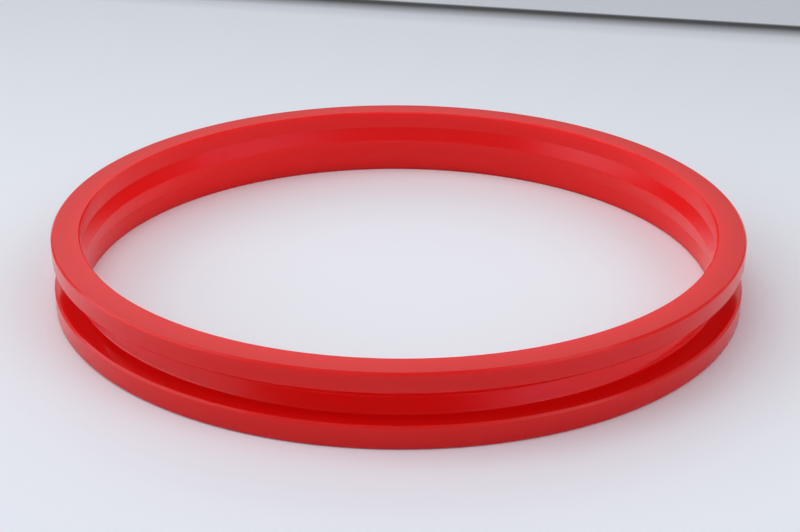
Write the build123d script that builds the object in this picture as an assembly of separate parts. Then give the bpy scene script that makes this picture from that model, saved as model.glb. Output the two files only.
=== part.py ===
from build123d import *
import os

# Large U cup seal, turned from one piece of polyurethane. All sizes are in millimetres.
# The ring lies flat with its axis on Z and its underside on z = 0. The U opens outwards: two flat
# lips stand out from a thin web, which is bent inwards along its middle. The bend shows as a low rib
# round the bore and as a shallow V at the groove's root, with parallel slopes.

OUTSIDE_RADIUS = 160.0   # tips of both lips
SECTION_WIDTH = 13.0     # radial width of the ring, from the bore to the lip tips
LOWER_LIP = 10.4         # axial thickness of the lower lip
GROOVE_WIDTH = 13.8      # axial gap between the lips, the same from mouth to root
UPPER_LIP = 9.4          # axial thickness of the upper lip
GROOVE_DEPTH = 9.8       # radial depth of each lip's flank, from the tip to the web
ROOT_FILLET = 0.8        # where the web runs into each lip
TIP_CHAMFER = 0.9        # both edges of each lip tip
BORE_CHAMFER = 0.6       # where the bore meets the top and bottom faces
RIB_RISE = 2.0           # how far the rib stands in from the bore
RIB_FOOT = 15.2          # axial length of the rib where it leaves the bore
RIB_LAND = 1.2           # axial length of the flat on its crest

BORE_RADIUS = OUTSIDE_RADIUS - SECTION_WIDTH
HEIGHT = LOWER_LIP + GROOVE_WIDTH + UPPER_LIP
GROOVE_MIDDLE = LOWER_LIP + GROOVE_WIDTH / 2
WEB_RADIUS = OUTSIDE_RADIUS - GROOVE_DEPTH
WEB_MIDDLE = (BORE_RADIUS + WEB_RADIUS) / 2
WEB_SLOPE = RIB_RISE / ((RIB_FOOT - RIB_LAND) / 2)
ROOT_DIP = WEB_SLOPE * GROOVE_WIDTH / 2


def blank_section():
    """Plain rectangle of the ring, from bore to lip tips and from underside to top face."""
    return Pos(BORE_RADIUS + SECTION_WIDTH / 2, HEIGHT / 2) * Rectangle(SECTION_WIDTH, HEIGHT)


def groove_section():
    """Space between the lips, with its V root and open past the lip tips."""
    lower, upper = GROOVE_MIDDLE - GROOVE_WIDTH / 2, GROOVE_MIDDLE + GROOVE_WIDTH / 2
    open_end = OUTSIDE_RADIUS + GROOVE_DEPTH
    outline = Polyline(
        (open_end, lower),
        (WEB_RADIUS, lower),
        (WEB_RADIUS - ROOT_DIP, GROOVE_MIDDLE),
        (WEB_RADIUS, upper),
        (open_end, upper),
        close=True,
    )
    groove = make_face(outline)
    return fillet(groove.vertices().sort_by(Axis.X)[:3], ROOT_FILLET)


def rib_section():
    """Low rib on the bore, centred behind the groove, with its foot buried in the web."""
    crest = BORE_RADIUS - RIB_RISE
    outline = Polyline(
        (WEB_MIDDLE, GROOVE_MIDDLE - RIB_FOOT / 2),
        (BORE_RADIUS, GROOVE_MIDDLE - RIB_FOOT / 2),
        (crest, GROOVE_MIDDLE - RIB_LAND / 2),
        (crest, GROOVE_MIDDLE + RIB_LAND / 2),
        (BORE_RADIUS, GROOVE_MIDDLE + RIB_FOOT / 2),
        (WEB_MIDDLE, GROOVE_MIDDLE + RIB_FOOT / 2),
        close=True,
    )
    return make_face(outline)


def ring_section():
    """Whole section of the ring, with its edges broken."""
    section = blank_section() - groove_section()
    section = chamfer(section.vertices().group_by(Axis.X)[-1], TIP_CHAMFER)
    section = chamfer(section.vertices().group_by(Axis.X)[0], BORE_CHAMFER)
    return section + rib_section()


def seal_ring():
    """The finished seal: its section turned once round the axis."""
    return revolve(Plane.XZ * ring_section(), axis=Axis.Z)


os.makedirs("parts", exist_ok=True)
export_step(seal_ring(), "parts/seal_ring.step")
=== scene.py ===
"""Looks of a large red U cup seal: a turned polyurethane ring lying on a pale sheet. Metres throughout."""

import math

import bpy
from mathutils import Matrix, Vector


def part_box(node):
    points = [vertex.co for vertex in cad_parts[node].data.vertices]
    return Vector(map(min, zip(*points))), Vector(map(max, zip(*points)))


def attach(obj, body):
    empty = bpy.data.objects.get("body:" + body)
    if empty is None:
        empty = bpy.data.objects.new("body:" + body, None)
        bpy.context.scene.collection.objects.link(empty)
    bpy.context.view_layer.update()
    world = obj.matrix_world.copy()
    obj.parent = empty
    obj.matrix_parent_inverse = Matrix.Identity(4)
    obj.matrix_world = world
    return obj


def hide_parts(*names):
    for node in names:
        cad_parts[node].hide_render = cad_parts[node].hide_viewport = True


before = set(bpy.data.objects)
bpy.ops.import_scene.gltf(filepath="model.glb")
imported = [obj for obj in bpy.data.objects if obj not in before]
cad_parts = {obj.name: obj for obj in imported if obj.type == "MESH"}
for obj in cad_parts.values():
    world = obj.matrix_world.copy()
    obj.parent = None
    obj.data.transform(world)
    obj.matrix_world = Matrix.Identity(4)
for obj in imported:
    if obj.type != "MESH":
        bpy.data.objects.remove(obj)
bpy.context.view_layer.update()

NODE = "seal_ring"
MM = 0.001

# ---- the ring's section: its outside from the frame, its walls as in the part ----

ring_low, ring_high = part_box(NODE)
OUTSIDE_RADIUS = (ring_high[0] - ring_low[0]) / 2
HEIGHT = ring_high[2] - ring_low[2]
SECTION_WIDTH = 13.0 * MM    # radial, from the bore to the lip tips
GROOVE_DEPTH = 9.8 * MM      # radial, from the lip tips to the web
LOWER_LIP = 10.4 * MM
UPPER_LIP = 9.4 * MM
TIP_CHAMFER = 0.9 * MM
BORE_CHAMFER = 0.6 * MM
RIB_RISE = 2.0 * MM
RIB_FOOT = 15.2 * MM
RIB_LAND = 1.2 * MM
ROOT_FILLET = 0.8 * MM
CREST_ROUND = 0.9 * MM       # eases the two edges of the rib's land
EDGE_ROUND = 0.12 * MM       # what the tool leaves on a turned edge
LIP_EDGE_ROUND = 0.3 * MM    # the chamfers' edges are softer

BORE_RADIUS = OUTSIDE_RADIUS - SECTION_WIDTH
WEB_RADIUS = OUTSIDE_RADIUS - GROOVE_DEPTH
GROOVE_TOP = HEIGHT - UPPER_LIP
MIDDLE = (LOWER_LIP + GROOVE_TOP) / 2
WEB_SLOPE = RIB_RISE / ((RIB_FOOT - RIB_LAND) / 2)
ROOT_DIP = WEB_SLOPE * (GROOVE_TOP - LOWER_LIP) / 2

# Finish of each face, from 0, glossy, to 1, the satin of a faced surface.
WEB_FINISH = 0.0
FLANK_FINISH = 0.15
TIP_FINISH = 0.35
BORE_FINISH = 0.4
RIB_FINISH = 0.5
FACED = 1.0

TURNS = 720                  # steps round the ring
ARC_STEPS = 4                # steps round each corner of the section

# ---- red polyurethane ----

BORE_RED_PAINTED_GLOW = (0.815, 0.0064, 0.0058, 1)     # painted glow: lighter red at the bore, standing in for the light the thin wall lets through
TIP_RED_PAINTED_SHADE = (0.690, 0.0068, 0.0060, 1)    # painted shade: deeper red at the lip tips
RED_CLOUDS = 0.1                          # how far patches drift between the two reds
LIGHT_REACH = 8.0 * MM                    # how far red light spreads inside
REACH_SHARES = (1.0, 0.05, 0.04)          # of that reach, for red, green and blue
RED_IOR = 1.36
GLOSSY, SATIN = 0.13, 0.32                # roughness at finish 0 and 1
BAND_ROUGHNESS = 0.012                    # broad turned bands, either way
CLOUD_ROUGHNESS = 0.015                   # soft patches, either way
CLOUD_SCALE = 9.0                         # patches per metre, about
GRAIN_SCALE = 900.0
FEED_SCALE = 2.2                          # fine turning marks per millimetre of section
BAND_SCALE = 0.45
FEED_SHARE = 0.7                          # of the relief; the grain has the rest
MARK_STRENGTH, MARK_DEPTH = 0.03, 0.04 * MM

# ---- the sheet ----

SHEET_HALF = 4.0
SHEET_ROUGHNESS = 0.5
SHEET_IOR = 1.3
SHEET_TINT = (1.0, 1.03, 1.07)
EDGE_SLANT = math.radians(12.2)           # the far edge's turn from square to the view
EDGE_POINT = (0.15, 0.472, 0)             # a point on the far edge
EDGE_NORMAL = (math.sin(EDGE_SLANT), math.cos(EDGE_SLANT), 0)
# Grey at each distance past the far edge, with painted shade: the sheet, darker far off as painted shade, its end
# in painted shade, the gap as a dark band of painted shade, and the wall behind.
SHEET_GREYS_WITH_PAINTED_SHADE = [(-0.72, 0.875), (-0.48, 0.90), (-0.05, 0.74), (-0.028, 0.60), (-0.011, 0.22), (-0.004, 0.035),
               (0.004, 0.03), (0.008, 0.60)]

# ---- light: angles are degrees round from the back, heights the sine of the angle above the horizon ----
# A pair is where a soft change starts and where it is complete, and it may run downwards.

ROOM_STRENGTH = 0.97
STUDIO_TINT = (1.0, 1.02, 1.06)

CAMERA_SIDE_GREY, SIDE_GREY = 0.02, 0.48  # low in the room, behind the camera and at the sides
DEPTH_RANGE = (-0.8, -0.2)                # between the two, along the view
UPPER_GREY = 0.40
UPPER_GREY_RISE = (0.07, 0.26)

WALL_EDGE = (52, 30)                      # the pale wall behind, from its sides inwards
WALL_FOOT, WALL_LIT = 0.06, 1.04
WALL_RISE = (0.28, 0.38)
WALL_DROP, WALL_FALL = -0.78, (0.55, 0.75)
WALL_WIDTH = (-0.4, 0.4)
WALL_LEFT, WALL_RIGHT = 1.30, 0.95        # brighter at the left

LEFT_PANEL = (1.85, 2.20, 2.65, 1)
LEFT_BACK_EDGE, LEFT_FRONT_EDGE = (58, 64), (136, 104)
RIGHT_PANEL = (1.25, 1.10, 1.60, 1)
RIGHT_BACK_EDGE, RIGHT_FRONT_EDGE = (94, 100), (166, 124)
PANEL_TOP = (1.90, 1.92, 1.98, 1)         # both panels are alike higher up
PANEL_CHANGE = (0.30, 0.55)
PANEL_END = (0.90, 0.70)

SOFTBOX_WIDTH, SOFTBOX_DEPTH = 1.7, 1.0
SOFTBOX_HEIGHT = 1.7
SOFTBOX_OFFSET = 0.30                     # from the ring's axis, towards the left
SOFTBOX_AZIMUTH = math.radians(185)       # from +X
SOFTBOX_LEVEL = 1.33

# ---- camera, placed so that the ring's edges fall as in the picture ----

CAMERA_DISTANCE = 0.7671
CAMERA_ELEVATION = math.radians(24.12)
CAMERA_ROLL = 0.0057
STEP_RIGHT, STEP_UP = 0.00073, 0.00589    # from the line through the ring's middle
LENS, SENSOR = 72.42, 36.0                # millimetres, as the camera takes them


def section_corners():
    """Corners of the section as (radius, height, round, finish of the face after it), counter-clockwise."""
    chamfer_out, chamfer_in = OUTSIDE_RADIUS - TIP_CHAMFER, BORE_RADIUS + BORE_CHAMFER
    crest = BORE_RADIUS - RIB_RISE
    return [
        (chamfer_in, 0, EDGE_ROUND, FACED),
        (chamfer_out, 0, LIP_EDGE_ROUND, TIP_FINISH),
        (OUTSIDE_RADIUS, TIP_CHAMFER, LIP_EDGE_ROUND, TIP_FINISH),
        (OUTSIDE_RADIUS, LOWER_LIP - TIP_CHAMFER, LIP_EDGE_ROUND, TIP_FINISH),
        (chamfer_out, LOWER_LIP, EDGE_ROUND, FLANK_FINISH),
        (WEB_RADIUS, LOWER_LIP, ROOT_FILLET, WEB_FINISH),
        (WEB_RADIUS - ROOT_DIP, MIDDLE, ROOT_FILLET, WEB_FINISH),
        (WEB_RADIUS, GROOVE_TOP, ROOT_FILLET, FLANK_FINISH),
        (chamfer_out, GROOVE_TOP, LIP_EDGE_ROUND, TIP_FINISH),
        (OUTSIDE_RADIUS, GROOVE_TOP + TIP_CHAMFER, LIP_EDGE_ROUND, TIP_FINISH),
        (OUTSIDE_RADIUS, HEIGHT - TIP_CHAMFER, LIP_EDGE_ROUND, TIP_FINISH),
        (chamfer_out, HEIGHT, LIP_EDGE_ROUND, FACED),
        (chamfer_in, HEIGHT, EDGE_ROUND, BORE_FINISH),
        (BORE_RADIUS, HEIGHT - BORE_CHAMFER, EDGE_ROUND, BORE_FINISH),
        (BORE_RADIUS, MIDDLE + RIB_FOOT / 2, EDGE_ROUND, RIB_FINISH),
        (crest, MIDDLE + RIB_LAND / 2, CREST_ROUND, RIB_FINISH),
        (crest, MIDDLE - RIB_LAND / 2, CREST_ROUND, RIB_FINISH),
        (BORE_RADIUS, MIDDLE - RIB_FOOT / 2, EDGE_ROUND, BORE_FINISH),
        (BORE_RADIUS, BORE_CHAMFER, EDGE_ROUND, BORE_FINISH),
    ]


def outward(direction):
    """Normal on the right of a run, which is outside a counter-clockwise section."""
    return Vector((direction.y, -direction.x))


def rounded_section():
    """The section with every corner as an arc: [(point, normal, finish, distance run from the first point)]."""
    corners = section_corners()
    section = []
    run = 0.0
    for i, (radius, height, edge, finish) in enumerate(corners):
        before, after = corners[i - 1], corners[(i + 1) % len(corners)]
        here = Vector((radius, height))
        run_in = (here - Vector(before[:2])).normalized()
        run_out = (Vector(after[:2]) - here).normalized()
        turn = run_in.angle_signed(run_out)
        cut = edge * math.tan(abs(turn) / 2)
        side = math.copysign(1, run_in.cross(run_out))
        centre = here - run_in * cut - outward(run_in) * edge * side
        for step in range(ARC_STEPS + 1):
            share = step / ARC_STEPS
            normal = outward(run_in)
            normal.rotate(Matrix.Rotation(share * abs(turn) * side, 2))
            point = centre + normal * edge * side
            if section:
                run += (point - section[-1][0]).length
            section.append((point, normal, before[3] + (finish - before[3]) * share, run))
    return section


def ring_mesh():
    """The section turned once round Z, with true normals and the section's finish and run as attributes."""
    section = rounded_section()
    count = len(section)
    points, normals, finishes, runs = [], [], [], []
    for turn in range(TURNS):
        angle = 2 * math.pi * turn / TURNS
        c, s = math.cos(angle), math.sin(angle)
        for point, normal, finish, run in section:
            points.append((point.x * c, point.x * s, point.y))
            normals.append((normal.x * c, normal.x * s, normal.y))
            finishes.append(finish)
            runs.append(run / MM)
    faces = []
    for turn in range(TURNS):
        here, following = turn * count, (turn + 1) % TURNS * count
        for i in range(count):
            j = (i + 1) % count
            faces.append((here + i, following + i, following + j, here + j))
    mesh = bpy.data.meshes.new("seal")
    mesh.from_pydata(points, [], faces)
    mesh.polygons.foreach_set("use_smooth", [True] * len(faces))
    for name, values in (("finish", finishes), ("run", runs)):
        mesh.attributes.new(name, "FLOAT", "POINT").data.foreach_set("value", values)
    mesh.update()
    mesh.normals_split_custom_set_from_vertices(normals)
    return mesh


class Nodes:
    """Short way to add and join shader nodes."""

    def __init__(self, tree):
        self.tree = tree
        tree.nodes.clear()

    def add(self, kind, inputs=None, **settings):
        node = self.tree.nodes.new("ShaderNode" + kind)
        for key, value in settings.items():
            setattr(node, key, value)
        for key, value in (inputs or {}).items():
            if isinstance(value, bpy.types.NodeSocket):
                self.tree.links.new(value, node.inputs[key])
            else:
                node.inputs[key].default_value = value
        return node

    def math(self, operation, a, b=0.0):
        return self.add("Math", {0: a, 1: b}, operation=operation).outputs[0]

    def product(self, first, *others):
        for other in others:
            first = self.math("MULTIPLY", first, other)
        return first

    def remap(self, value, low, high, to_low=0.0, to_high=1.0, way="LINEAR"):
        inputs = {"Value": value, "From Min": low, "From Max": high, "To Min": to_low, "To Max": to_high}
        return self.add("MapRange", inputs, interpolation_type=way).outputs["Result"]

    def soft(self, value, low, high, to_low=0.0, to_high=1.0):
        """Like remap, but it starts and ends gently."""
        return self.remap(value, low, high, to_low, to_high, "SMOOTHSTEP")

    def swing(self, noise, amount):
        """Noise as a drift by an amount either way."""
        return self.remap(noise, 0.3, 0.7, -amount, amount)

    def mix_value(self, share, a, b):
        return self.add("Mix", {0: share, 2: a, 3: b}, data_type="FLOAT").outputs[0]

    def mix_colour(self, share, a, b):
        return self.add("Mix", {0: share, 6: a, 7: b}, data_type="RGBA").outputs[2]

    def tinted(self, value, tint):
        """Grey of a level, with a tint."""
        parts = {i: self.product(value, part) for i, part in enumerate(tint)}
        return self.add("CombineXYZ", parts).outputs[0]

    def attribute(self, name):
        return self.add("Attribute", attribute_name=name).outputs["Fac"]


def new_material(name):
    material = bpy.data.materials.new(name)
    material.use_nodes = True
    return material, Nodes(material.node_tree)


def red_with_painted_glow_and_shade(n, place, clouds):
    """Painted glow and shade in the red: lighter red at the thin bore and web, standing in for light let through
    and bounced inside the ring, and deeper red towards the lip tips as painted shade.
    """
    spot = n.add("SeparateXYZ", {0: place}).outputs
    radius = n.math("SQRT", n.math("ADD", n.math("POWER", spot["X"], 2.0), n.math("POWER", spot["Y"], 2.0)))
    # painted glow at the bore shading to painted shade at the lip tips, drifted by the patches
    painted_shade_share = n.math("ADD", n.remap(radius, BORE_RADIUS, OUTSIDE_RADIUS), n.swing(clouds, RED_CLOUDS))
    return n.mix_colour(painted_shade_share, BORE_RED_PAINTED_GLOW, TIP_RED_PAINTED_SHADE)


def turning_marks(n, place, run):
    """Normal with the fine marks that the lathe's feed leaves, and a little grain."""
    feed = n.add("TexNoise", {"W": run, "Scale": FEED_SCALE, "Detail": 2.0}, noise_dimensions="1D")
    grain = n.add("TexNoise", {"Vector": place, "Scale": GRAIN_SCALE, "Detail": 2.0})
    relief = n.mix_value(FEED_SHARE, grain.outputs["Fac"], feed.outputs["Fac"])
    bump = n.add("Bump", {"Strength": MARK_STRENGTH, "Distance": MARK_DEPTH, "Height": relief})
    return bump.outputs["Normal"]


def polyurethane():
    """Translucent red, glossy in the groove, satin on the lip tips and bore, most satin on the flat faces."""
    material, n = new_material("red_polyurethane")
    place = n.add("TexCoord").outputs["Object"]
    run = n.attribute("run")
    clouds = n.add("TexNoise", {"Vector": place, "Scale": CLOUD_SCALE, "Detail": 3.0}).outputs["Fac"]
    bands = n.add("TexNoise", {"W": run, "Scale": BAND_SCALE, "Detail": 1.0}, noise_dimensions="1D").outputs["Fac"]
    roughness = n.remap(n.attribute("finish"), 0.0, 1.0, GLOSSY, SATIN)
    roughness = n.math("ADD", roughness, n.swing(bands, BAND_ROUGHNESS))
    roughness = n.math("ADD", roughness, n.swing(clouds, CLOUD_ROUGHNESS))
    shader = n.add("BsdfPrincipled", {"Base Color": red_with_painted_glow_and_shade(n, place, clouds), "Roughness": roughness,
                                      "IOR": RED_IOR, "Subsurface Weight": 1.0, "Subsurface Scale": LIGHT_REACH,
                                      "Subsurface Radius": REACH_SHARES,
                                      "Normal": turning_marks(n, place, run)})
    n.add("OutputMaterial", {"Surface": shader.outputs[0]})
    return material


def pale_sheet_with_painted_shade():
    """Pale sheet, a little darker far off as painted shade. Its far end is painted in shade, and past its far edge
    lie a dark gap of painted shade and the paler wall behind.
    """
    material, n = new_material("pale_sheet_with_painted_shade")
    first, last = SHEET_GREYS_WITH_PAINTED_SHADE[0][0], SHEET_GREYS_WITH_PAINTED_SHADE[-1][0]
    place = n.add("NewGeometry").outputs["Position"]
    offset = n.add("VectorMath", {0: place, 1: EDGE_POINT}, operation="SUBTRACT")
    past = n.add("VectorMath", {0: offset.outputs[0], 1: EDGE_NORMAL}, operation="DOT_PRODUCT")
    # painted shade: the sheet darkens towards its far end, and the gap past it is painted dark
    ramp = n.add("ValToRGB", {"Fac": n.remap(past.outputs["Value"], first, last)})
    elements = ramp.color_ramp.elements
    while len(elements) < len(SHEET_GREYS_WITH_PAINTED_SHADE):
        elements.new(1.0)
    for element, (distance, grey) in zip(elements, SHEET_GREYS_WITH_PAINTED_SHADE):
        element.position = (distance - first) / (last - first)
        element.color = (*(grey * part for part in SHEET_TINT), 1)
    shader = n.add("BsdfPrincipled", {"Base Color": ramp.outputs["Color"], "Roughness": SHEET_ROUGHNESS,
                                      "IOR": SHEET_IOR})
    n.add("OutputMaterial", {"Surface": shader.outputs[0]})
    return material


def add_object(name, data):
    thing = bpy.data.objects.new(name, data)
    bpy.context.collection.objects.link(thing)
    return thing


def add_sheet():
    """Wide pale floor under the ring."""
    mesh = bpy.data.meshes.new("sheet")
    corners = [(-SHEET_HALF, -SHEET_HALF, 0), (SHEET_HALF, -SHEET_HALF, 0),
               (SHEET_HALF, SHEET_HALF, 0), (-SHEET_HALF, SHEET_HALF, 0)]
    mesh.from_pydata(corners, [], [(0, 1, 2, 3)])
    mesh.materials.append(pale_sheet_with_painted_shade())
    add_object("sheet", mesh)


def add_softbox():
    """Large soft light over the ring, a little to the left, facing the ring's middle."""
    light = bpy.data.lights.new("overhead", "AREA")
    light.shape = "RECTANGLE"
    light.size, light.size_y = SOFTBOX_WIDTH, SOFTBOX_DEPTH
    light.energy = SOFTBOX_LEVEL * SOFTBOX_WIDTH * SOFTBOX_DEPTH * math.pi
    softbox = add_object("overhead", light)
    softbox.location = (SOFTBOX_OFFSET * math.cos(SOFTBOX_AZIMUTH), SOFTBOX_OFFSET * math.sin(SOFTBOX_AZIMUTH),
                        SOFTBOX_HEIGHT)
    aim = Vector((0, 0, HEIGHT / 2)) - softbox.location
    softbox.rotation_euler = aim.to_track_quat("-Z", "Y").to_euler()


def add_world():
    """Studio round the ring: a pale wall behind, a long lit panel on either side, and a dim camera side."""
    world = bpy.data.worlds.new("room")
    world.use_nodes = True
    bpy.context.scene.world = world
    n = Nodes(world.node_tree)
    way = n.add("SeparateXYZ", {0: n.add("TexCoord").outputs["Generated"]}).outputs
    across, depth, height = way["X"], way["Y"], way["Z"]
    from_back = n.math("DEGREES", n.math("ARCTAN2", n.math("ABSOLUTE", across), depth))

    low_grey = n.remap(depth, *DEPTH_RANGE, CAMERA_SIDE_GREY, SIDE_GREY)
    dim = n.tinted(n.mix_value(n.soft(height, *UPPER_GREY_RISE), low_grey, UPPER_GREY), STUDIO_TINT)
    wall = n.math("ADD", n.soft(height, *WALL_RISE, WALL_FOOT, WALL_LIT),
                  n.soft(height, *WALL_FALL, 0.0, WALL_DROP))
    wall = n.product(wall, n.remap(across, *WALL_WIDTH, WALL_LEFT, WALL_RIGHT))
    room = n.mix_colour(n.soft(from_back, *WALL_EDGE), dim, n.tinted(wall, STUDIO_TINT))

    right = n.math("GREATER_THAN", across, 0.0)
    left = n.math("SUBTRACT", 1.0, right)
    for side, back_edge, front_edge, panel in ((left, LEFT_BACK_EDGE, LEFT_FRONT_EDGE, LEFT_PANEL),
                                               (right, RIGHT_BACK_EDGE, RIGHT_FRONT_EDGE, RIGHT_PANEL)):
        share = n.product(side, n.soft(from_back, *back_edge), n.soft(from_back, *front_edge),
                          n.soft(height, *PANEL_END))
        room = n.mix_colour(share, room, n.mix_colour(n.soft(height, *PANEL_CHANGE), panel, PANEL_TOP))
    background = n.add("Background", {"Color": room, "Strength": ROOM_STRENGTH})
    n.add("OutputWorld", {"Surface": background.outputs[0]})


def add_camera():
    """Camera at the picture's viewing angle, stepped a little aside from the ring's axis."""
    data = bpy.data.cameras.new("camera")
    data.sensor_width = SENSOR
    data.lens = LENS
    camera = add_object("camera", data)
    turn = Matrix.Rotation(math.pi / 2 - CAMERA_ELEVATION, 4, "X") @ Matrix.Rotation(CAMERA_ROLL, 4, "Z")
    camera.matrix_world = turn @ Matrix.Translation((STEP_RIGHT, STEP_UP, CAMERA_DISTANCE))
    bpy.context.scene.camera = camera


seal = add_object("seal", ring_mesh())
seal.data.materials.append(polyurethane())
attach(seal, "root")
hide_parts(NODE)

add_sheet()
add_world()
add_softbox()
add_camera()

bpy.context.scene.view_settings.view_transform = "Standard"
